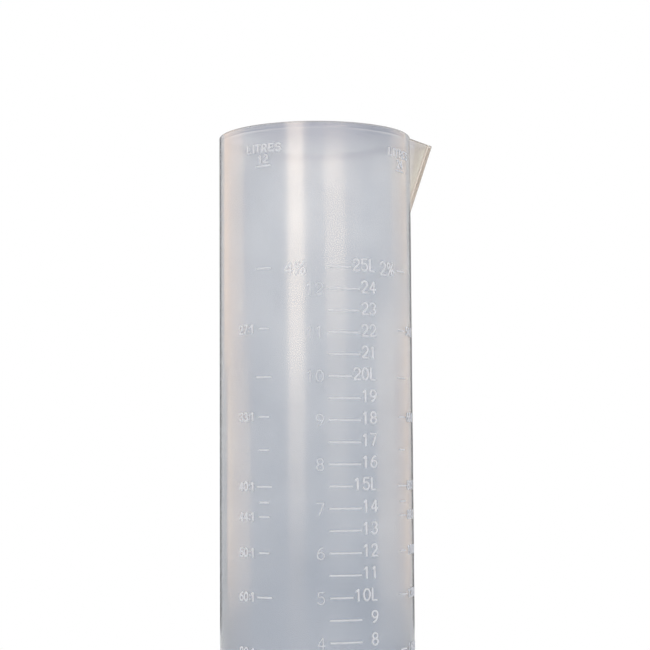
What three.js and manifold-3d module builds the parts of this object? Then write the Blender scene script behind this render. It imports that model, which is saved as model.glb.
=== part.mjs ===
// Tall measuring jug: a straight round body with a V-shaped pouring spout under a flat rim,
// and raised level lines in three columns.
// Millimetres, Z up. The origin is the centre of the base, the spout points to +X
// and the main ladder of level lines faces -Y.
import * as THREE from "three";
import Module from "manifold-3d";

// Body
const OUTER_DIAMETER = 63.4;
const HEIGHT = 220;
const WALL = 1.25;
const FLOOR = 2.0;
const HEEL_RADIUS = 4.0;
const FOOT_RING_WIDTH = 6.5;
const FOOT_PAD_RADIUS = 8.0;
const FOOT_RECESS = 0.5;

// Spout: a V of constant plan angle whose keel runs straight back into the wall
const SPOUT_REACH = 10.8;
const SPOUT_DEPTH = 30.5;
const SPOUT_HALF_ANGLE = 40;
const SPOUT_NOSE_RADIUS = 2.2;
const SPOUT_INNER_NOSE_RADIUS = 3.0;

// Level lines, with their angles measured from -Y toward the spout
const LINE_RELIEF = 0.25;
const LINE_HEIGHT = 0.8;
const LINE_CLEARANCE = 0.02;
const MAIN_EDGE_ANGLE = -13;
const MAIN_LENGTH = 10.6;
const MAIN_UNIT_LENGTH = 7.6;
const MAIN_COUNT = 25;
const MAIN_STEP_ML = 20;
const UNIT_EVERY = 5;
const LEFT_ANGLE = -51.2;
const RIGHT_ANGLE = 40;
const SIDE_LONG = 5.6;
const SIDE_SHORT = 3.9;
const LEFT_BATCH_ML = 12000;
const RIGHT_BATCH_ML = 24000;
const LEFT_RATIOS = [24, 27, 30, 33, 36, 40, 42, 44, 50, 60, 80, 100];
const LONG_EVERY_ML = 100;
const HEADER_LINE_DROP = 13.6;
const MM3_PER_ML = 1000;

// Finish: natural polypropylene, smooth on the wall and paler and duller where it is raised
const WALL_COLOUR = 0xc8ccd2;
const WALL_ROUGHNESS = 0.25;
const LINE_COLOUR = 0xe0e4e8;
const LINE_ROUGHNESS = 0.45;

// Least radius inside the heel, fineness of the round faces, and cutting allowances
const LEAST_INNER_HEEL = 0.5;
const ROUND_SEGMENTS = 120;
const HEEL_SEGMENTS = 6;
const NOSE_SEGMENTS = 10;
const LINE_SEGMENTS = 6;
const CUT_OVERRUN = 1.0;
const CORNERS_PER_MM = 1000;

// Sizes that follow from the ones above
const outerRadius = OUTER_DIAMETER / 2;
const boreRadius = outerRadius - WALL;
const innerHeel = Math.max(HEEL_RADIUS - WALL, LEAST_INNER_HEEL);
const keelSlope = SPOUT_REACH / SPOUT_DEPTH;
const halfAngle = THREE.MathUtils.degToRad(SPOUT_HALF_ANGLE);

const wasm = await Module();
wasm.setup();

// A three.js geometry as a solid for cutting: shared corners joined, empty triangles dropped.
function solid(geometry) {
  const source = geometry.index ? geometry.toNonIndexed() : geometry;
  const place = source.getAttribute("position");
  const seen = new Map();
  const corners = [];
  const triangles = [];
  for (let i = 0; i < place.count; i += 3) {
    const triangle = [0, 1, 2].map((j) => {
      const point = [place.getX(i + j), place.getY(i + j), place.getZ(i + j)];
      const key = point.map((c) => Math.round(c * CORNERS_PER_MM)).join();
      if (!seen.has(key)) {
        seen.set(key, corners.length / 3);
        corners.push(...point);
      }
      return seen.get(key);
    });
    if (new Set(triangle).size === 3) triangles.push(...triangle);
  }
  return new wasm.Manifold(
    new wasm.Mesh({
      numProp: 3,
      vertProperties: new Float32Array(corners),
      triVerts: new Uint32Array(triangles),
    }),
  );
}

// A cut solid back as a three.js geometry.
function geometryOf(cut) {
  const mesh = cut.getMesh();
  const corners = new Float32Array(mesh.numVert * 3);
  for (let i = 0; i < mesh.numVert; i++) {
    corners.set(mesh.vertProperties.subarray(i * mesh.numProp, i * mesh.numProp + 3), i * 3);
  }
  const geometry = new THREE.BufferGeometry();
  geometry.setAttribute("position", new THREE.BufferAttribute(corners, 3));
  geometry.setIndex(new THREE.BufferAttribute(mesh.triVerts, 1));
  geometry.computeVertexNormals();
  return geometry;
}

// A profile of [radius, height] pairs, from the axis below to the axis above, turned about Z.
function turned(profile) {
  const points = profile.map(([r, z]) => new THREE.Vector2(r, z));
  return solid(new THREE.LatheGeometry(points, ROUND_SEGMENTS).rotateX(Math.PI / 2));
}

// A quarter-round heel from the floor up to the wall.
function heel(radius, wallRadius, floorLevel) {
  const points = [];
  for (let i = 0; i <= HEEL_SEGMENTS; i++) {
    const a = (Math.PI / 2) * (i / HEEL_SEGMENTS);
    points.push([
      wallRadius - radius + radius * Math.sin(a),
      floorLevel + radius - radius * Math.cos(a),
    ]);
  }
  return points;
}

// The V of the spout as a slanting prism: nose radius `nose`, sides `inset` from the outer ones, from `above`
// over the rim to below the point where the keel meets the wall. Both ends are the same outline, moved along
// the keel. The inner nose is rounder than the outer one, which leaves the wall thicker there.
function spoutPrism(nose, inset, above) {
  const back = boreRadius / 2;
  const setBack = (inset + nose - SPOUT_NOSE_RADIUS) / Math.sin(halfAngle);
  const outline = (depth) => {
    const centre = outerRadius + SPOUT_REACH - SPOUT_NOSE_RADIUS - keelSlope * depth - setBack;
    const reach = (centre + nose / Math.sin(halfAngle) - back) * Math.tan(halfAngle);
    const points = [[back, -reach]];
    for (let i = 0; i <= NOSE_SEGMENTS; i++) {
      const a = (Math.PI / 2 - halfAngle) * ((2 * i) / NOSE_SEGMENTS - 1);
      points.push([centre + nose * Math.cos(a), nose * Math.sin(a)]);
    }
    points.push([back, reach]);
    return points.map(([x, y]) => new THREE.Vector3(x, y, HEIGHT - depth));
  };
  const low = outline(SPOUT_DEPTH + CUT_OVERRUN);
  const high = outline(-above);
  const count = low.length;
  const corners = [...low, ...high].flatMap((p) => [p.x, p.y, p.z]);
  const faces = [];
  for (let i = 0; i < count; i++) {
    const next = (i + 1) % count;
    faces.push(i, next, count + next, i, count + next, count + i);
    if (i > 1) {
      faces.push(0, i, i - 1);
      faces.push(count, count + i - 1, count + i);
    }
  }
  const geometry = new THREE.BufferGeometry();
  geometry.setAttribute("position", new THREE.Float32BufferAttribute(corners, 3));
  geometry.setIndex(faces);
  return solid(geometry);
}

const footRadius = outerRadius - HEEL_RADIUS;
const recessRadius = footRadius - FOOT_RING_WIDTH;
const outside = turned([
  [0, 0],
  [FOOT_PAD_RADIUS, 0],
  [FOOT_PAD_RADIUS + FOOT_RECESS, FOOT_RECESS],
  [recessRadius - FOOT_RECESS, FOOT_RECESS],
  [recessRadius, 0],
  ...heel(HEEL_RADIUS, outerRadius, 0),
  [outerRadius, HEIGHT],
  [0, HEIGHT],
]).add(spoutPrism(SPOUT_NOSE_RADIUS, 0, 0));
const inside = turned([
  [0, FLOOR],
  ...heel(innerHeel, boreRadius, FLOOR),
  [boreRadius, HEIGHT + CUT_OVERRUN],
  [0, HEIGHT + CUT_OVERRUN],
]).add(spoutPrism(SPOUT_INNER_NOSE_RADIUS, WALL, CUT_OVERRUN));

const group = new THREE.Group();
group.name = "measuring_jug";

function addNode(name, geometry, color, roughness) {
  const finish = new THREE.MeshStandardMaterial({ color, roughness, metalness: 0 });
  const mesh = new THREE.Mesh(geometry, finish);
  mesh.name = name;
  group.add(mesh);
}

addNode("jug_body", geometryOf(outside.subtract(inside)), WALL_COLOUR, WALL_ROUGHNESS);

// Height of a level line: the volume over the area of the bore, with the rounded inner heel allowed for.
// The corner that the heel fills has its centroid a fixed share of the heel's radius from the wall.
const boreArea = Math.PI * boreRadius ** 2;
const cornerCentroid = ((10 - 3 * Math.PI) / (12 - 3 * Math.PI)) * innerHeel;
const heelCorner = (1 - Math.PI / 4) * innerHeel ** 2;
const heelLoss = 2 * Math.PI * (boreRadius - cornerCentroid) * heelCorner;
const levelOf = (ml) => FLOOR + (ml * MM3_PER_ML + heelLoss) / boreArea;

// A raised bar that follows the wall, centred on its height. It starts at an angle given in degrees.
function addLine(name, height, startAngle, length) {
  const low = outerRadius + LINE_CLEARANCE;
  const high = low + LINE_RELIEF;
  const start = THREE.MathUtils.degToRad(startAngle - 90);
  const end = start + length / outerRadius;
  const shape = new THREE.Shape();
  shape.absarc(0, 0, high, start, end, false);
  shape.absarc(0, 0, low, end, start, true);
  const bar = { depth: LINE_HEIGHT, bevelEnabled: false, curveSegments: LINE_SEGMENTS };
  const geometry = new THREE.ExtrudeGeometry(shape, bar).translate(0, 0, height - LINE_HEIGHT / 2);
  addNode(name, geometry, LINE_COLOUR, LINE_ROUGHNESS);
}

// Main ladder: every fifth line is shorter, which leaves room for a number with its unit.
for (let n = 1; n <= MAIN_COUNT; n++) {
  const length = n % UNIT_EVERY === 0 ? MAIN_UNIT_LENGTH : MAIN_LENGTH;
  const name = `main_mark_${String(n).padStart(2, "0")}`;
  addLine(name, levelOf(n * MAIN_STEP_ML), MAIN_EDGE_ANGLE, length);
}

// Mixing columns: one line for each ratio of batch to dose, long at the full hundreds of millilitres,
// and a line under each column's heading, which hangs from the rim.
const halfTurn = (length) => THREE.MathUtils.radToDeg(length / 2 / outerRadius);
for (const ratio of LEFT_RATIOS) {
  const ml = LEFT_BATCH_ML / ratio;
  const length = ml % LONG_EVERY_ML === 0 ? SIDE_LONG : SIDE_SHORT;
  const rightRatio = RIGHT_BATCH_ML / ml;
  addLine(`left_mark_${ratio}to1`, levelOf(ml), LEFT_ANGLE - halfTurn(length), length);
  addLine(`right_mark_${rightRatio}to1`, levelOf(ml), RIGHT_ANGLE - halfTurn(length), length);
}
const headerHeight = HEIGHT - HEADER_LINE_DROP;
addLine("left_header_line", headerHeight, LEFT_ANGLE - halfTurn(SIDE_LONG), SIDE_LONG);
addLine("right_header_line", headerHeight, RIGHT_ANGLE - halfTurn(SIDE_LONG), SIDE_LONG);

export default group;
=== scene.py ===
import bpy
import numpy as np
from mathutils import Euler, Matrix


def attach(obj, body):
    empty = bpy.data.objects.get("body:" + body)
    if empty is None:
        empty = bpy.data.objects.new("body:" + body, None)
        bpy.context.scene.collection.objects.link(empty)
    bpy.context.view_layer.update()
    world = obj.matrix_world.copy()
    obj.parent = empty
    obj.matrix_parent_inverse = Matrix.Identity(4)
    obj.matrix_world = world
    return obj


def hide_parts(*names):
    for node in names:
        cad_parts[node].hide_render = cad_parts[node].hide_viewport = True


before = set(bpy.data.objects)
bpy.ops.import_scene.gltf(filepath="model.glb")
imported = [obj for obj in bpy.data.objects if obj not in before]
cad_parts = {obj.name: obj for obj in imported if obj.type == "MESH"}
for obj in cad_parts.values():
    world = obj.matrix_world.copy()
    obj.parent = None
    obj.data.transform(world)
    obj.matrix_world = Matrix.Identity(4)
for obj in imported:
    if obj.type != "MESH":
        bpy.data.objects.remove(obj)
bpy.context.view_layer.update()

# Jug body
# One thin-walled vessel of natural, uncoloured polypropylene: a straight round wall, a closed base and
# a V-shaped pouring spout. It is blow moulded in two halves that meet in the plane of the spout, and the
# rim is cut flat afterwards. Its sizes are in millimetres.
MM = 0.001
OUTER_RADIUS = 31.7
WALL = 1.25
HEIGHT = 220.0
FLOOR = 2.0
HEEL = 4.0
FOOT_RING = 6.5
FOOT_PAD = 8.0
FOOT_RECESS = 0.5
FOOT_EDGE = 0.3
FOOT_EDGE_LIFT = 0.05
RIM_EDGE = 0.12
TRIM_LINE = 1.9
TRIM_GROOVE = 0.02
TRIM_WIDTH = 0.25
SPOUT_REACH = 10.8
SPOUT_DEPTH = 30.5
SPOUT_HALF_ANGLE = np.radians(40.0)
SPOUT_END_ANGLE = 1.3
SPOUT_NOSE = 2.2
INNER_NOSE = 3.0
CREASE = 0.2
BORE_RADIUS = OUTER_RADIUS - WALL
INNER_HEEL = HEEL - WALL
KEEL_SLOPE = SPOUT_REACH / SPOUT_DEPTH


def spout_distance(angle, depth, nose, inset):
    """Distance from the axis to the V of the spout, `angle` round from it and `depth` under the rim.

    The V is two flanks at SPOUT_HALF_ANGLE to the spout's direction, set `inset` inside the outer ones and
    tangent to a nose circle whose centre slides back along the keel with depth. A flank's distance is
    (c sin h + nose) / sin(h + angle), and the nose's is c cos(angle) + sqrt(nose^2 - c^2 sin^2(angle)).
    Further round than SPOUT_END_ANGLE, in radians, there is no spout and the distance is 0.
    """
    keel = OUTER_RADIUS + SPOUT_REACH - SPOUT_NOSE - KEEL_SLOPE * depth
    centre = keel + (SPOUT_NOSE - inset - nose) / np.sin(SPOUT_HALF_ANGLE)
    turn = np.abs(angle)
    near = np.minimum(turn, SPOUT_END_ANGLE)
    flank = (centre * np.sin(SPOUT_HALF_ANGLE) + nose) / np.sin(SPOUT_HALF_ANGLE + near)
    inside = np.maximum(nose**2 - (centre * np.sin(near)) ** 2, 0)
    tip = centre * np.cos(near) + np.sqrt(inside)
    touch = np.arctan2(nose * np.cos(SPOUT_HALF_ANGLE), centre + nose * np.sin(SPOUT_HALF_ANGLE))
    return np.where(turn < touch, tip, flank) * (turn < SPOUT_END_ANGLE)


def soft_max(a, b, blend):
    """The larger of a and b, rounded over where they differ by less than blend.

    There it gains blend (1 - |a - b| / blend)^2 / 4, which keeps the slope even.
    """
    return np.maximum(a, b) + blend / 4 * np.maximum(1 - np.abs(a - b) / blend, 0) ** 2


def wall_radius(angle, height, share):
    """Radius of the wall: the outside at share 0, the inside at share 1, and between them across the rim.

    The outside has a fine groove TRIM_LINE under the rim: TRIM_GROOVE times a bell curve TRIM_WIDTH wide.
    """
    depth = HEIGHT - height
    outside = soft_max(OUTER_RADIUS, spout_distance(angle, depth, SPOUT_NOSE, 0), CREASE)
    outside = outside - TRIM_GROOVE * np.exp(-(((depth - TRIM_LINE) / TRIM_WIDTH) ** 2))
    inside = soft_max(BORE_RADIUS, spout_distance(angle, depth, INNER_NOSE, WALL), CREASE)
    return outside * (1 - share) + inside * share


def quarter(radius, corner, floor, steps):
    """Rows of a quarter-round heel, from the floor up to the wall, as (distance from the axis, height).

    At angle a they are corner + radius sin a and floor + radius (1 - cos a).
    """
    a = np.linspace(0, np.pi / 2, steps)
    return np.stack([corner + radius * np.sin(a), floor + radius * (1 - np.cos(a))], -1)


def mesh_object(name, points, faces):
    """A smooth-shaded mesh object from an (n, 3) array in millimetres and a list of face index arrays."""
    mesh = bpy.data.meshes.new(name)
    rows = [row for block in faces for row in block.tolist()]
    mesh.from_pydata((points * MM).tolist(), [], rows)
    mesh.polygons.foreach_set("use_smooth", np.ones(len(mesh.polygons), dtype=bool))
    mesh.update()
    made = bpy.data.objects.new(name, mesh)
    bpy.context.scene.collection.objects.link(made)
    return made


def ring_faces(rows, columns):
    """Quads of a grid that closes on itself along its columns."""
    at = np.arange(rows * columns).reshape(rows, columns)
    low, high = at[:-1], at[1:]
    return np.stack([low, np.roll(low, -1, 1), np.roll(high, -1, 1), high], -1).reshape(-1, 4)


# Columns crowd together at the spout: angle = pi ((1 - k) t + k t^3) for t from -1 to 1, with k = CROWDING.
COLUMNS = 480
CROWDING = 0.75
t = np.linspace(-1, 1, COLUMNS, endpoint=False)
around = np.pi * ((1 - CROWDING) * t + CROWDING * t**3)


def turned_rows(rows):
    """Rows of (distance r, height z) carried round the axis: (r cos, r sin, z)."""
    r, z = rows[:, :1], rows[:, 1:]
    return np.stack([r * np.cos(around), r * np.sin(around), z + 0 * around], -1)


# The underside stands on a middle pad and on a ring inside the heel, with a shallow recess between them.
POLE_RING = 0.4
RECESS_RING = 14.0
STANDING_RING = 2.0
FLOOR_RINGS = (26.0, 20.0, 10.0, POLE_RING)
OUTER_HEEL_STEPS = 9
INNER_HEEL_STEPS = 8
foot = OUTER_RADIUS - HEEL
recess = foot - FOOT_RING
underside = np.array([
    [POLE_RING, 0],
    [FOOT_PAD / 2, 0],
    [FOOT_PAD - FOOT_EDGE, 0],
    [FOOT_PAD, FOOT_EDGE_LIFT],
    [FOOT_PAD + FOOT_RECESS, FOOT_RECESS],
    [FOOT_PAD + 2 * FOOT_RECESS, FOOT_RECESS],
    [RECESS_RING, FOOT_RECESS],
    [recess - 2 * FOOT_RECESS, FOOT_RECESS],
    [recess - FOOT_RECESS, FOOT_RECESS],
    [recess, FOOT_EDGE_LIFT],
    [recess + FOOT_EDGE, 0],
    [foot - STANDING_RING, 0],
])
outer_heel = quarter(HEEL, foot, 0, OUTER_HEEL_STEPS)
inner_heel = quarter(INNER_HEEL, BORE_RADIUS - INNER_HEEL, FLOOR, INNER_HEEL_STEPS)[::-1]
floor_rows = np.array([[ring, FLOOR] for ring in FLOOR_RINGS])

# Rows up the wall, as (first height, last height, count): plain wall, spout, trim groove, edge of the rim.
WALL_BANDS = (
    (HEEL + 4, HEIGHT - 36, 12),
    (HEIGHT - 34, HEIGHT - 3, 48),
    (HEIGHT - 2.8, HEIGHT - 1, 16),
    (HEIGHT - 0.7, HEIGHT - RIM_EDGE, 3),
)
EDGE_STEPS = 5
climb = np.concatenate([np.linspace(*band) for band in WALL_BANDS])
edge = np.linspace(0, np.pi / 2, EDGE_STEPS)[1:]
edge_share = RIM_EDGE / WALL * (1 - np.cos(edge))
edge_drop = RIM_EDGE * (1 - np.sin(edge))
rim_share = np.concatenate([edge_share, 1 - edge_share[::-1]])
rim_height = HEIGHT - np.concatenate([edge_drop, edge_drop[::-1]])
share = np.concatenate([np.zeros_like(climb), rim_share, np.ones_like(climb)])
height = np.concatenate([climb, rim_height, climb[::-1]])
radius = wall_radius(around[None, :], height[:, None], share[:, None])
wall = np.stack([radius * np.cos(around), radius * np.sin(around), height[:, None] + 0 * radius], -1)

# The rows run in one sheet from the pole under the base, over the rim, to the pole on the floor.
body_grid = np.concatenate([
    turned_rows(underside), turned_rows(outer_heel), wall, turned_rows(inner_heel), turned_rows(floor_rows),
])
body_rows = len(body_grid)
body_points = np.concatenate([body_grid.reshape(-1, 3), [[0, 0, 0], [0, 0, FLOOR]]])
first = np.arange(COLUMNS)
last = first + (body_rows - 1) * COLUMNS
under_pole = np.stack([np.roll(first, -1), first, np.full(COLUMNS, len(body_points) - 2)], -1)
floor_pole = np.stack([last, np.roll(last, -1), np.full(COLUMNS, len(body_points) - 1)], -1)
jug = mesh_object("jug_wall", body_points, [ring_faces(body_rows, COLUMNS), under_pole, floor_pole])
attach(jug, "root")
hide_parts("jug_body")


def linear(hex_colour):
    """An sRGB hex colour as linear red, green, blue and alpha 1."""
    c = np.array([int(hex_colour[i:i + 2], 16) for i in (1, 3, 5)]) / 255
    return tuple(np.where(c <= 0.04045, c / 12.92, ((c + 0.055) / 1.055) ** 2.4)) + (1.0,)


def add(tree, kind, settings=None, values=None, links=None):
    """A node with its settings, its socket values and the outputs that feed its inputs."""
    made = tree.nodes.new(kind)
    for name, value in (settings or {}).items():
        setattr(made, name, value)
    for name, value in (values or {}).items():
        made.inputs[name].default_value = value
    for name, source in (links or {}).items():
        tree.links.new(source, made.inputs[name])
    return made


def new_material(name):
    """An empty node material, and its tree."""
    made = bpy.data.materials.new(name)
    made.use_nodes = True
    made.node_tree.nodes.clear()
    return made, made.node_tree


# Natural polypropylene, blow moulded: milky, lets a blurred image through, with a soft sheen on a faintly
# uneven skin. Slow clouds a few centimetres long lie in the wall, on a tone painted darker towards the base
# as shade. A painted highlight lies along the spout's keel, a painted shade on its facets, and a painted
# shade greys the top of the cut rim. Lengths are in millimetres.
CLOUD = 28
RIPPLE = 9
RIPPLE_DEPTH = 0.05
NOSE_BAND = 4
DRAWN_BAND = 1.5
# Where the painted shade under the rim starts and where it is full, in millimetres under the top.
RIM_SHADE_START = 0.5
RIM_SHADE_FULL = 0.2
POLYPROPYLENE_IOR = 1.49
polypropylene, tree = new_material("natural_polypropylene")
place = add(tree, "ShaderNodeTexCoord").outputs["Object"]
climbing = add(tree, "ShaderNodeSeparateXYZ", links={"Vector": place})

# Clouds, on painted shade: the tone is painted darker towards the base and paler towards the rim.
clouds = add(tree, "ShaderNodeTexNoise", values={"Scale": 1 / (CLOUD * MM), "Detail": 2.0, "Roughness": 0.5},
             links={"Vector": place})
painted_height_shade = add(tree, "ShaderNodeMapRange", values={"From Max": HEIGHT * MM, "To Min": -0.55, "To Max": 0.3},
               links={"Value": climbing.outputs["Z"]})
clouds_and_painted_shade = add(tree, "ShaderNodeMath", {"operation": "ADD"},
             links={0: clouds.outputs["Fac"], 1: painted_height_shade.outputs["Result"]})
tone = add(tree, "ShaderNodeValToRGB", links={"Fac": clouds_and_painted_shade.outputs["Value"]})
tone.color_ramp.elements[0].color = linear("#CFD6E0")
tone.color_ramp.elements[1].color = linear("#F4F7FC")

# The keel is the line where x less its slope times z is one value. A painted highlight, pale and warm, lies
# along it, and a painted shade greys the spout's facets beside it.
keel = OUTER_RADIUS + SPOUT_REACH - KEEL_SLOPE * HEIGHT
along_keel = add(tree, "ShaderNodeVectorMath", {"operation": "DOT_PRODUCT"},
                 values={1: (1, 0, -KEEL_SLOPE)}, links={0: place})
from_keel = add(tree, "ShaderNodeMapRange",
                values={"From Min": (keel - NOSE_BAND) * MM, "From Max": keel * MM},
                links={"Value": along_keel.outputs["Value"]})
painted_nose_light = add(tree, "ShaderNodeValToRGB", links={"Fac": from_keel.outputs["Result"]})
painted_nose_light.color_ramp.elements[0].position = 0.25
painted_nose_light.color_ramp.elements[0].color = linear("#DFE2E0")
painted_nose_light.color_ramp.elements[1].position = 0.4
painted_nose_light.color_ramp.elements[1].color = linear("#F6F4EE")
# Only the spout, out past the round wall, takes the painted highlight and shade.
drawn = add(tree, "ShaderNodeMapRange",
            values={"From Min": OUTER_RADIUS * MM, "From Max": (OUTER_RADIUS + DRAWN_BAND) * MM},
            links={"Value": climbing.outputs["X"]})
tone_and_nose_light = add(tree, "ShaderNodeMix", {"data_type": "RGBA"},
                 links={0: drawn.outputs["Result"], 6: tone.outputs["Color"],
                        7: painted_nose_light.outputs["Color"]})

# A painted shade along the cut rim: the last half millimetre under its top is painted greyer.
rim_shade_mask = add(tree, "ShaderNodeMapRange",
          values={"From Min": (HEIGHT - RIM_SHADE_START) * MM, "From Max": (HEIGHT - RIM_SHADE_FULL) * MM},
          links={"Value": climbing.outputs["Z"]})
tone_with_rim_shade = add(tree, "ShaderNodeMix", {"data_type": "RGBA"}, values={7: linear("#C6C9CD")},
               links={0: rim_shade_mask.outputs["Result"], 6: tone_and_nose_light.outputs[2]})

# The skin that the mould leaves, and the tint that the plastic gathers with depth.
ripple = add(tree, "ShaderNodeTexNoise", values={"Scale": 1 / (RIPPLE * MM), "Detail": 1.5},
             links={"Vector": place})
skin = add(tree, "ShaderNodeBump", values={"Strength": 0.15, "Distance": RIPPLE_DEPTH * MM},
           links={"Height": ripple.outputs["Fac"]})
wall_shader = add(tree, "ShaderNodeBsdfPrincipled",
                  values={"Roughness": 0.2, "IOR": POLYPROPYLENE_IOR, "Transmission Weight": 0.86},
                  links={"Base Color": tone_with_rim_shade.outputs[2], "Normal": skin.outputs["Normal"]})
depth_tint = add(tree, "ShaderNodeVolumeAbsorption", values={"Color": linear("#B9B3A4"), "Density": 50.0})
add(tree, "ShaderNodeOutputMaterial",
    links={"Surface": wall_shader.outputs["BSDF"], "Volume": depth_tint.outputs["Volume"]})
jug.data.materials.append(polypropylene)

# Level lines and figures
# Raised strokes on the outside of the wall, engraved into the mould with a round-nosed cutter: every
# line, number and letter is one cutter path of even width with round ends, in the wall's own plastic.
STROKE_STEPS = 22
ARC_STEPS = 24
RELIEF = 0.25
SUNK = 0.03
LINE_WIDTH = 0.52
FIGURE_WIDTH = 0.6
HALF_WIDTH = 0.3
LABEL_WIDTH = 0.55
END_ANGLES = np.radians([90, 60, 30])
END_OPENING = 0.04
ACROSS = np.array([-1, -0.93, -0.75, -0.4, 0.4, 0.75, 0.93, 1])


def path(*parts):
    """A pen path through its parts, resampled at STROKE_STEPS even steps of length."""
    points = np.concatenate(parts)
    run = np.concatenate([[0], np.cumsum(np.hypot(*np.diff(points, axis=0).T))])
    even = np.linspace(0, run[-1], STROKE_STEPS)
    return np.stack([np.interp(even, run, points[:, 0]), np.interp(even, run, points[:, 1])], -1)


def line(*corners):
    """Straight pen moves from corner to corner."""
    return np.array(corners, dtype=float)


def arc(x, y, width, height, start, end):
    """An elliptical pen move about (x, y): (x + width cos a, y + height sin a), with a in degrees."""
    a = np.radians(np.linspace(start, end, ARC_STEPS))
    return np.stack([x + width * np.cos(a), y + height * np.sin(a)], -1)


# Pen paths of each character, in heights of a figure: x runs from 0, y from 0 at the foot to 1.
CHARACTERS = {
    "0": [path(arc(0.3, 0.5, 0.3, 0.5, 90, 450))],
    "1": [path(line((0.1, 0.8), (0.3, 1), (0.3, 0)))],
    "2": [path(arc(0.3, 0.71, 0.28, 0.29, 165, -30), line((0, 0), (0.6, 0)))],
    "3": [path(arc(0.29, 0.75, 0.26, 0.25, 155, -90), arc(0.29, 0.26, 0.31, 0.26, 88, -155))],
    "4": [path(line((0.46, 0), (0.46, 1), (0, 0.28), (0.62, 0.28)))],
    "5": [path(line((0.55, 1), (0.1, 1), (0.05, 0.52)), arc(0.29, 0.32, 0.31, 0.32, 130, -150))],
    "6": [path(arc(0.62, 0.3, 0.6, 0.7, 105, 180), arc(0.31, 0.3, 0.29, 0.3, 180, -180))],
    "7": [path(line((0, 1), (0.6, 1), (0.2, 0)))],
    "8": [path(arc(0.3, 0.755, 0.25, 0.245, -90, 270)), path(arc(0.3, 0.26, 0.3, 0.26, 90, 450))],
    "9": [path(arc(-0.02, 0.7, 0.6, 0.7, -75, 0), arc(0.29, 0.7, 0.29, 0.3, 0, 360))],
    ":": [path(line((0.1, 0.2), (0.11, 0.2))), path(line((0.1, 0.66), (0.11, 0.66)))],
    "%": [path(line((0.1, 0), (0.7, 1))), path(arc(0.15, 0.77, 0.15, 0.21, 0, 360)),
          path(arc(0.65, 0.23, 0.15, 0.21, 0, 360))],
    "L": [path(line((0.05, 1), (0.05, 0), (0.5, 0)))],
    "I": [path(line((0.1, 1), (0.1, 0)))],
    "T": [path(line((0, 1), (0.6, 1))), path(line((0.3, 1), (0.3, 0)))],
    "R": [path(line((0.05, 0), (0.05, 1), (0.3, 1)), arc(0.3, 0.74, 0.26, 0.26, 90, -90),
               line((0.05, 0.48))),
          path(line((0.3, 0.48), (0.58, 0)))],
    "E": [path(line((0.52, 1), (0.05, 1), (0.05, 0), (0.52, 0))), path(line((0.05, 0.52), (0.45, 0.52)))],
    "S": [path(arc(0.29, 0.75, 0.25, 0.25, 35, 270), arc(0.29, 0.25, 0.28, 0.25, 90, -145))],
}
ADVANCE = {":": 0.34, "I": 0.36, "%": 1.0}
PLAIN_ADVANCE = 0.82
LETTER_GAP = 0.2


def words(text, u, v, height, align, stretch=1.0):
    """Pen paths of a text whose foot is at v, in millimetres along the wall (u) and up it (v).

    Align 0 starts at u, 0.5 centres there and 1 ends there. Stretch widens the letters.
    """
    steps = np.array([ADVANCE.get(c, PLAIN_ADVANCE) for c in text])
    starts = np.concatenate([[0], np.cumsum(steps)])
    shift = -align * (starts[-1] - LETTER_GAP)
    strokes = [p + (x + shift, 0) for c, x in zip(text, starts) for p in CHARACTERS[c]]
    return [p * (height * stretch, height) + (u, v) for p in strokes]


def level_line(u, v, length):
    """The pen path of one level line that starts at u."""
    inset = LINE_WIDTH / 2
    return path(line((u + inset, v), (u + length - inset, v)))


def sheet_faces(at):
    """Quads between the neighbours in a grid of point numbers, or in a stack of such grids."""
    low, high = at[..., :-1, :], at[..., 1:, :]
    return np.stack([low[..., :-1], low[..., 1:], high[..., 1:], high[..., :-1]], -1).reshape(-1, 4)


def raised_strokes(name, strokes, width):
    """A ridge carried along each pen path and laid on the wall.

    Across a path the height is RELIEF (1 - s^4)^(1/2) for s from -1 to 1, and the width closes in a half
    circle past both ends. A point u along the wall, v up it and h off it is at angle u / R, radius R + h.
    """
    pens = np.stack(strokes)
    ahead = np.gradient(pens, axis=1)
    ahead /= np.maximum(np.linalg.norm(ahead, axis=-1, keepdims=True), 1e-9)
    past = width / 2 * np.sin(END_ANGLES)
    start = pens[:, :1] - ahead[:, :1] * past[:, None]
    end = pens[:, -1:] + ahead[:, -1:] * past[::-1, None]
    centre = np.concatenate([start, pens, end], 1)
    caps = len(END_ANGLES)
    along = np.concatenate([np.repeat(ahead[:, :1], caps, 1), ahead, np.repeat(ahead[:, -1:], caps, 1)], 1)
    opening = np.cos(END_ANGLES)
    open_to = np.maximum(np.concatenate([opening, np.ones(STROKE_STEPS), opening[::-1]]), END_OPENING)
    side = np.stack([-along[..., 1], along[..., 0]], -1)
    offset = open_to[:, None] * ACROSS * width / 2
    flat = centre[:, :, None] + side[:, :, None] * offset[None, :, :, None]
    lift = RELIEF * np.sqrt(1 - ACROSS**4) * np.sqrt(open_to)[:, None] - SUNK
    angle = flat[..., 0] / OUTER_RADIUS
    out = OUTER_RADIUS + lift[None]
    grid = np.stack([out * np.sin(angle), -out * np.cos(angle), flat[..., 1]], -1)
    at = np.arange(grid[..., 0].size).reshape(grid.shape[:3])
    top = sheet_faces(at)
    back = sheet_faces(at[..., [-1, 0]])
    ends = np.concatenate([at[:, 0, ::-1], at[:, -1]])
    return mesh_object(name, grid.reshape(-1, 3), [top[:, ::-1], back[:, ::-1], ends[:, ::-1]])


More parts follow.
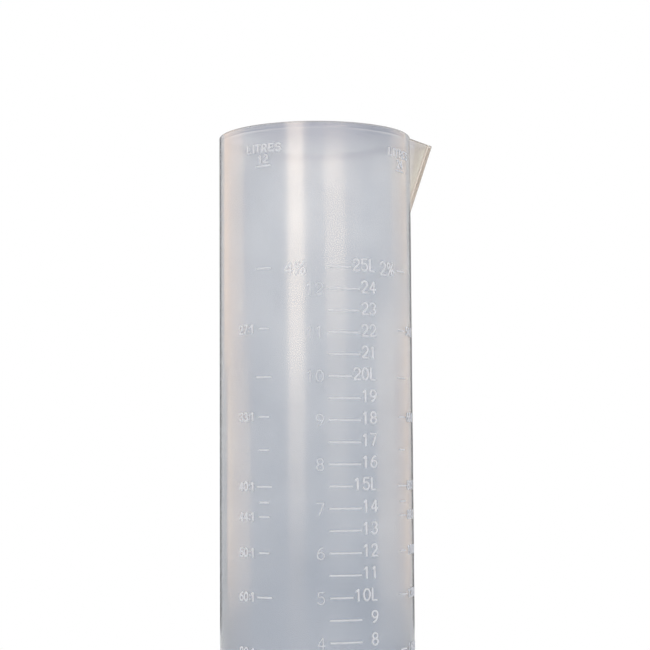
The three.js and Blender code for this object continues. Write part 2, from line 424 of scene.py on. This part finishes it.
# The rounded inner heel takes the corner between floor and wall, whose centroid is a fixed share of the
# heel's radius from the wall.
MM3_PER_ML = 1000
bore_area = np.pi * BORE_RADIUS**2
corner_centroid = (10 - 3 * np.pi) / (12 - 3 * np.pi) * INNER_HEEL
heel_loss = 2 * np.pi * (BORE_RADIUS - corner_centroid) * (1 - np.pi / 4) * INNER_HEEL**2


def level(ml):
    """Height of a volume: the volume and what the rounded inner heel takes away, over the bore's area."""
    return FLOOR + (ml * MM3_PER_ML + heel_loss) / bore_area


def round_wall(degrees):
    """Millimetres along the wall from the middle of its front to an angle: the radius times the angle."""
    return np.radians(degrees) * OUTER_RADIUS


# Raised polypropylene: the same plastic, thicker and duller where the cutter left its fine marks.
GRIT = 0.6
GRIT_DEPTH = 0.03
raised, tree = new_material("raised_polypropylene")
place = add(tree, "ShaderNodeTexCoord").outputs["Object"]
grit = add(tree, "ShaderNodeTexNoise", values={"Scale": 1 / (GRIT * MM), "Detail": 2.0},
           links={"Vector": place})
pale = add(tree, "ShaderNodeValToRGB", links={"Fac": grit.outputs["Fac"]})
pale.color_ramp.elements[0].color = linear("#D5DEEC")
pale.color_ramp.elements[1].color = linear("#E2EAF6")
tooled = add(tree, "ShaderNodeBump", values={"Strength": 0.2, "Distance": GRIT_DEPTH * MM},
             links={"Height": grit.outputs["Fac"]})
raised_shader = add(tree, "ShaderNodeBsdfPrincipled",
                    values={"Roughness": 0.35, "IOR": POLYPROPYLENE_IOR, "Transmission Weight": 0.18},
                    links={"Base Color": pale.outputs["Color"], "Normal": tooled.outputs["Normal"]})
add(tree, "ShaderNodeOutputMaterial", links={"Surface": raised_shader.outputs["BSDF"]})

# Main ladder: a line every 20 ml, numbered in litres of mix at 2% on its right and at 4% on its left.
# Every fifth line is shorter, which leaves room for a number with its unit.
LADDER_COUNT = 25
LADDER_STEP_ML = 20
UNIT_EVERY = 5
LADDER_EDGE = round_wall(-13.0)
LADDER_LINE = 10.6
LADDER_UNIT_LINE = 7.6
NUMBER_END = round_wall(16.6)
NUMBER_HEIGHT = 3.6
NUMBER_DROP = 1.0
HALF_NUMBER_END = round_wall(-15.8)
HALF_NUMBER_DROP = 1.8
PERCENT_HEIGHT = 4.0
TWO_PERCENT_START = round_wall(20.3)
TWO_PERCENT_DROP = 1.8
FOUR_PERCENT_END = round_wall(-26.0)
FOUR_PERCENT_DROP = 2.3
numbers = np.arange(1, LADDER_COUNT + 1)
ladder_lines = []
ladder_figures = []
half_figures = []
for n in numbers:
    filled = level(LADDER_STEP_ML * n)
    with_unit = n % UNIT_EVERY == 0
    text = f"{n}L" if with_unit else f"{n}"
    ladder_lines.append(level_line(LADDER_EDGE, filled, LADDER_UNIT_LINE if with_unit else LADDER_LINE))
    ladder_figures += words(text, NUMBER_END, filled - NUMBER_DROP, NUMBER_HEIGHT, 1)
    if n % 2 == 0:
        half_figures += words(f"{n // 2}", HALF_NUMBER_END, filled - HALF_NUMBER_DROP, NUMBER_HEIGHT, 1)
top_level = level(LADDER_COUNT * LADDER_STEP_ML)
ladder_figures += words("2%", TWO_PERCENT_START, top_level - TWO_PERCENT_DROP, PERCENT_HEIGHT, 0)
ladder_figures += words("4%", FOUR_PERCENT_END, top_level - FOUR_PERCENT_DROP, PERCENT_HEIGHT, 1)

# Mixing columns: lines where a batch of 12 or 24 litres is mixed at the ratio beside the line, long at
# the full hundreds of millilitres, under a heading with the batch.
ML_PER_LITRE = 1000
LEFT_BATCH = 12
RIGHT_BATCH = 24
LEFT_RATIOS = (24, 27, 30, 33, 36, 40, 42, 44, 50, 60, 80, 100)
LABELLED = {27, 33, 40, 44, 50, 60, 80, 100}
LONG_EVERY_ML = 100
SIDE_LONG = 5.6
SIDE_SHORT = 3.9
RATIO_HEIGHT = 2.6
RATIO_DROP = 1.2
HEADER_LINE = HEIGHT - 13.6
UNIT_HEIGHT = 2.3
UNIT_RISE = 4.6
UNIT_STRETCH = 1.3
BATCH_HEIGHT = 2.4
BATCH_RISE = 1.1
column_lines = []
column_figures = []
column_nodes = []
for batch, middle, label, align, side in (
    (LEFT_BATCH, round_wall(-51.2), round_wall(-57.6), 1, "left"),
    (RIGHT_BATCH, round_wall(40.0), round_wall(46.5), 0, "right"),
):
    for ratio in LEFT_RATIOS:
        shown = ratio * batch // LEFT_BATCH
        ml = LEFT_BATCH * ML_PER_LITRE / ratio
        length = SIDE_LONG if ml % LONG_EVERY_ML == 0 else SIDE_SHORT
        column_lines.append(level_line(middle - length / 2, level(ml), length))
        column_nodes.append(f"{side}_mark_{shown}to1")
        if ratio in LABELLED:
            column_figures += words(f"{shown}:1", label, level(ml) - RATIO_DROP, RATIO_HEIGHT, align)
    column_lines.append(level_line(middle - SIDE_LONG / 2, HEADER_LINE, SIDE_LONG))
    column_nodes.append(f"{side}_header_line")
    column_figures += words("LITRES", middle, HEADER_LINE + UNIT_RISE, UNIT_HEIGHT, 0.5, UNIT_STRETCH)
    column_figures += words(f"{batch}", middle, HEADER_LINE + BATCH_RISE, BATCH_HEIGHT, 0.5)

ladder = raised_strokes("ladder_lines", ladder_lines, LINE_WIDTH)
columns = raised_strokes("mixing_lines", column_lines, LINE_WIDTH)
ladder_text = raised_strokes("ladder_figures", ladder_figures, FIGURE_WIDTH)
half_text = raised_strokes("half_figures", half_figures, HALF_WIDTH)
column_text = raised_strokes("mixing_figures", column_figures, LABEL_WIDTH)
for piece in (ladder, columns, ladder_text, half_text, column_text):
    piece.data.materials.append(raised)
    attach(piece, "root")
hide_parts(*[f"main_mark_{n:02d}" for n in numbers])
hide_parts(*column_nodes)

# Floor and backdrop
# A pale paper sweep that runs back from the jug and curves up behind it. Near the jug the camera sees its
# matte floor with the shadow, and further out plain white. Reflections, and light that comes through the
# plastic, meet plain white all over.
SWEEP_HALF_WIDTH = 3000
SWEEP_FRONT = -2500
SWEEP_BEND = 1500
SWEEP_BEND_DEPTH = 700
SWEEP_RISE = 1800
SWEEP_COLUMNS = 13
SWEEP_ROWS = 40
FLAT_SHARE = 0.6
SHADOW_NEAR = 120
SHADOW_FAR = 420
BACKGROUND_RAYS = ("Is Glossy Ray", "Is Transmission Ray")
across = np.linspace(-SWEEP_HALF_WIDTH, SWEEP_HALF_WIDTH, SWEEP_COLUMNS)
run = np.linspace(0, 1, SWEEP_ROWS)[:, None]
bend = np.maximum(run - FLAT_SHARE, 0) / (1 - FLAT_SHARE) * np.pi / 2
flat_y = SWEEP_FRONT + np.minimum(run / FLAT_SHARE, 1) * (SWEEP_BEND - SWEEP_FRONT)
sweep_y = flat_y + SWEEP_BEND_DEPTH * np.sin(bend)
sweep_z = SWEEP_RISE * (1 - np.cos(bend))
sweep_grid = np.stack([across + 0 * run, sweep_y + 0 * across, sweep_z + 0 * across], -1)
sweep_at = np.arange(SWEEP_ROWS * SWEEP_COLUMNS).reshape(SWEEP_ROWS, SWEEP_COLUMNS)
sweep = mesh_object("sweep", sweep_grid.reshape(-1, 3), [sheet_faces(sweep_at)])
paper, tree = new_material("white_paper_sweep")
ray = add(tree, "ShaderNodeLightPath")
from_jug = add(tree, "ShaderNodeVectorMath", {"operation": "LENGTH"},
               links={0: add(tree, "ShaderNodeTexCoord").outputs["Object"]})
far = add(tree, "ShaderNodeMapRange", {"interpolation_type": "SMOOTHSTEP"},
          values={"From Min": SHADOW_NEAR * MM, "From Max": SHADOW_FAR * MM},
          links={"Value": from_jug.outputs["Value"]})
seen = add(tree, "ShaderNodeMath", {"operation": "MULTIPLY"},
           links={0: ray.outputs["Is Camera Ray"], 1: far.outputs["Result"]}).outputs["Value"]
for kind in BACKGROUND_RAYS:
    seen = add(tree, "ShaderNodeMath", {"operation": "MAXIMUM"},
               links={0: seen, 1: ray.outputs[kind]}).outputs["Value"]
matte = add(tree, "ShaderNodeBsdfDiffuse", values={"Color": linear("#F1F2F5")})
plain = add(tree, "ShaderNodeEmission", values={"Color": linear("#FFFFFF"), "Strength": 1.0})
both = add(tree, "ShaderNodeMixShader",
           links={0: seen, 1: matte.outputs["BSDF"], 2: plain.outputs["Emission"]})
add(tree, "ShaderNodeOutputMaterial", links={"Surface": both.outputs["Shader"]})
sweep.data.materials.append(paper)

# Studio cards
# Three grey cards hang behind the jug, above the line from the camera to the far side of the rim, and only
# light that has passed through the plastic meets them. Dark cards stand at either side and high behind, with
# a pale one over the right one, and only reflections meet them: they draw the thin dark edges of the wall.
CAMERA_AZIMUTH = np.radians(-20.0)
CARD_POINTS = 3
behind = CAMERA_AZIMUTH + np.pi


def studio_card(name, azimuth, distance, shift, width, foot, top, colour, meets):
    """An upright card on a circle round the jug's axis, facing it, met by one kind of light only.

    Its points are `distance` out along the azimuth and `width` across it, about a middle at `shift`.
    """
    sides = np.linspace(shift - width / 2, shift + width / 2, CARD_POINTS)
    side, up = np.meshgrid(sides, np.linspace(foot, top, CARD_POINTS))
    x = distance * np.sin(azimuth) + side * np.cos(azimuth)
    y = -distance * np.cos(azimuth) + side * np.sin(azimuth)
    at = np.arange(side.size).reshape(side.shape)
    made = mesh_object(name, np.stack([x, y, up], -1).reshape(-1, 3), [sheet_faces(at)])
    for kind in ("camera", "diffuse", "glossy", "transmission", "shadow", "volume_scatter"):
        setattr(made, f"visible_{kind}", kind == meets)
    paint, tree = new_material(name)
    tone = add(tree, "ShaderNodeEmission", values={"Color": linear(colour), "Strength": 1.0})
    add(tree, "ShaderNodeOutputMaterial", links={"Surface": tone.outputs["Emission"]})
    made.data.materials.append(paint)


# Each card's name, degrees round from straight behind, distance, shift, width, foot, top, colour and light.
for name, degrees, *card in (
    ("grey_card", 0, 300, 0, 60, 271.5, 800, "#8C92A6", "transmission"),
    ("grey_card_left", 0, 300, 230, 400, 277, 800, "#747C90", "transmission"),
    ("grey_card_right", 0, 300, -230, 400, 273, 800, "#465674", "transmission"),
    ("left_card", 18, 600, 0, 220, 0, 700, "#3C3A38", "glossy"),
    ("right_card", -18, 600, 0, 220, 0, 285, "#3C3A38", "glossy"),
    ("right_card_top", -18, 600, 0, 220, 285, 430, "#DEDBD6", "glossy"),
    ("high_card", 0, 600, 0, 1200, 430, 1000, "#3C3A38", "glossy"),
):
    studio_card(name, behind + np.radians(degrees), *card)

# Studio light
# An even pale room, and window lamps to the left, to the right and in a wide strip, whose reflections run
# down the wall. A lamp overhead and a side fill light the jug and aren't reflected, and warm lamps at both
# sides show only in reflections, along the wall's edges.
world = bpy.data.worlds.new("pale_room")
bpy.context.scene.world = world
world.use_nodes = True
tree = world.node_tree
tree.nodes.clear()
ray = add(tree, "ShaderNodeLightPath")
seen = ray.outputs["Is Camera Ray"]
for kind in BACKGROUND_RAYS:
    seen = add(tree, "ShaderNodeMath", {"operation": "MAXIMUM"},
               links={0: seen, 1: ray.outputs[kind]}).outputs["Value"]
room = add(tree, "ShaderNodeBackground", values={"Color": linear("#F4F6FA"), "Strength": 0.56})
white = add(tree, "ShaderNodeBackground", values={"Color": linear("#FFFFFF"), "Strength": 1.0})
both = add(tree, "ShaderNodeMixShader",
           links={0: seen, 1: room.outputs["Background"], 2: white.outputs["Background"]})
add(tree, "ShaderNodeOutputWorld", links={"Surface": both.outputs["Shader"]})


def soft_box(name, azimuth, distance, height, width, tall, brightness, colour, tilt=90):
    """A rectangular lamp on a circle round the jug's axis, turned to face the axis, or down at tilt 0.

    Its power is pi times its area times its brightness, where brightness 1 looks white. Its places and sizes
    are in metres. Neither the camera nor light that comes through the plastic sees it.
    """
    lamp = bpy.data.lights.new(name, "AREA")
    lamp.shape = "RECTANGLE"
    lamp.size = width
    lamp.size_y = tall
    lamp.energy = np.pi * width * tall * brightness
    lamp.color = linear(colour)[:3]
    made = bpy.data.objects.new(name, lamp)
    a = np.radians(azimuth)
    made.location = (distance * np.sin(a), -distance * np.cos(a), height)
    made.rotation_euler = Euler((np.radians(tilt), 0, a))
    made.visible_camera = False
    made.visible_transmission = False
    bpy.context.scene.collection.objects.link(made)
    return made


# Each lamp's name, azimuth in degrees, distance, height, width, tallness, brightness and colour.
for window in (
    ("window_left", -42.4, 1.0, 0.415, 0.345, 0.41, 8.0, "#FFE8CC"),
    ("window_left_middle", -42.4, 1.0, 0.155, 0.345, 0.11, 3.9, "#FFE8CC"),
    ("window_left_low", -42.4, 1.0, 0.05, 0.345, 0.1, 1.4, "#FFE8CC"),
    ("window_right", 3.5, 1.0, 0.315, 0.42, 0.15, 4.6, "#FFE6C8"),
    ("window_right_low", 3.5, 1.0, 0.16, 0.42, 0.16, 1.2, "#FFE8CC"),
    ("window_wide", 1.5, 1.0, 0.355, 1.37, 0.06, 2.1, "#FFE8CC"),
):
    soft_box(*window)
overhead = soft_box("overhead", 160, 0.1, 1.1, 0.7, 0.7, 3.0, "#FFFFFF", tilt=0)
overhead.visible_glossy = False
for warm in (
    ("warm_left", -136, 0.9, 0.45, 0.75, 0.5, 1.7, "#FFCA94"),
    ("warm_left_low", -126, 0.9, 0.1, 0.76, 0.2, 2.0, "#FFD4A4"),
    ("warm_right", 112, 0.9, 0.118, 0.95, 0.236, 0.33, "#FFC88C"),
    ("warm_right_side", 103, 0.9, 0.118, 0.5, 0.236, 0.95, "#FFD09C"),
    ("warm_right_high", 101, 0.9, 0.35, 0.62, 0.16, 1.15, "#FFD2A0"),
    ("fill_right", 70, 0.9, 0.12, 0.5, 0.24, 1.95, "#FFE2C0"),
):
    soft_box(*warm).visible_diffuse = False
side_fill = soft_box("side_fill", 95, 0.9, 0.2, 0.8, 0.6, 1.25, "#FFE6CC")
side_fill.visible_glossy = False

# Camera
# A long lens a little above half the jug's height, turned up towards the rim. Its place is in metres, and
# its turns from facing the axis on the level are in degrees.
LENS = 94.4
SENSOR = 36.0
NEAREST = 0.01
CAMERA_DISTANCE = 0.5622
CAMERA_HEIGHT = 0.1127
CAMERA_SWING = 0.3146
CAMERA_PITCH = 4.5986
CAMERA_ROLL = -0.35
camera = bpy.data.objects.new("camera", bpy.data.cameras.new("camera"))
camera.data.lens = LENS
camera.data.sensor_width = SENSOR
camera.data.clip_start = NEAREST
towards = (np.sin(CAMERA_AZIMUTH), -np.cos(CAMERA_AZIMUTH))
camera.location = (CAMERA_DISTANCE * towards[0], CAMERA_DISTANCE * towards[1], CAMERA_HEIGHT)
facing = Euler((np.radians(90 + CAMERA_PITCH), 0, CAMERA_AZIMUTH - np.radians(CAMERA_SWING)))
aim = facing.to_matrix() @ Matrix.Rotation(np.radians(CAMERA_ROLL), 3, "Z")
camera.rotation_euler = aim.to_euler()
bpy.context.scene.collection.objects.link(camera)
bpy.context.scene.camera = camera
bpy.context.scene.view_settings.view_transform = "Standard"
